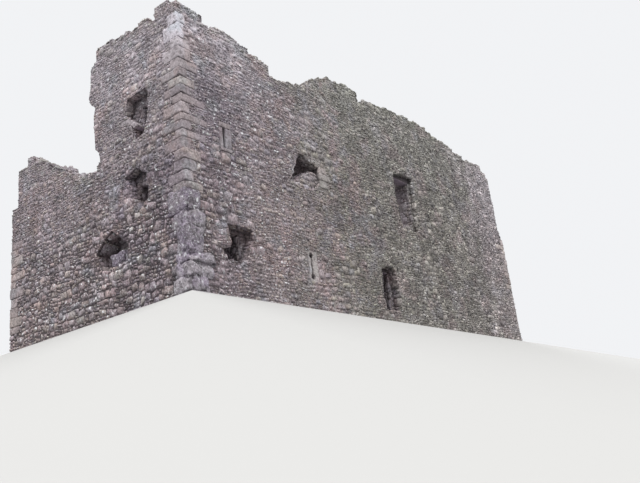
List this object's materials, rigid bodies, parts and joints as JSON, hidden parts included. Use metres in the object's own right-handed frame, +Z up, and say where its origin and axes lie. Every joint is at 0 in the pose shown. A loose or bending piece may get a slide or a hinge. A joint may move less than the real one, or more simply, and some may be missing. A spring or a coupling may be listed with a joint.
{
  "type": "ruined castle keep",
  "caption": "Roofless rectangular stone keep in ruins, with a vaulted basement, a hall above, broken wall heads, dressed corner stones and robbed window openings.",
  "frame": {"origin": "middle of the keep's base, at the ground that its walls stand on", "axes": "+X to the right along the front wall, +Y from the front wall to the back wall, +Z up"},
  "size_m": [22, 9, 9.7899],
  "materials": {
    "rubble": "rough whinstone and sandstone rubble laid in pinkish lime mortar",
    "freestone": "dressed and weathered pale sandstone",
    "bluestone": "blue-grey boulders",
    "flagstone": "worn flagstones and cobbles"
  },
  "bodies": {
    "root": {"front_ground_left": "rubble", "front_ground_loop_bay": "rubble", "front_ground_door_bay": "rubble", "front_ground_right": "rubble", "front_hall_left": "rubble", "front_hall_breach_bay": "rubble", "front_hall_window_bay": "rubble", "front_hall_right": "rubble", "left_end_ground": "rubble", "left_end_tall": "rubble", "left_end_broken": "rubble", "back_ground_left": "rubble", "back_ground_right": "rubble", "back_hall_left": "rubble", "back_hall_middle": "rubble", "back_hall_right": "rubble", "right_end_ground": "rubble", "right_end_hall": "rubble", "basement_vault": "rubble", "basement_floor": "flagstone", "hall_paving": "flagstone", "near_quoins": "freestone", "far_front_quoins": "freestone", "back_quoins": "freestone", "corner_foot_stones": "bluestone", "slit_surround": "freestone", "gunloop_slabs": "freestone", "doorway_lintel": "freestone", "doorway_threshold": "freestone", "breach_jamb_stones": "freestone", "breach_rubble": "rubble", "hall_window_lintel": "freestone", "hall_window_rubble": "rubble", "end_window_arch_stone": "freestone", "hollow_boulder": "bluestone", "back_window_surrounds": "freestone", "right_end_window_surround": "freestone"}
  },
  "joints": []
}
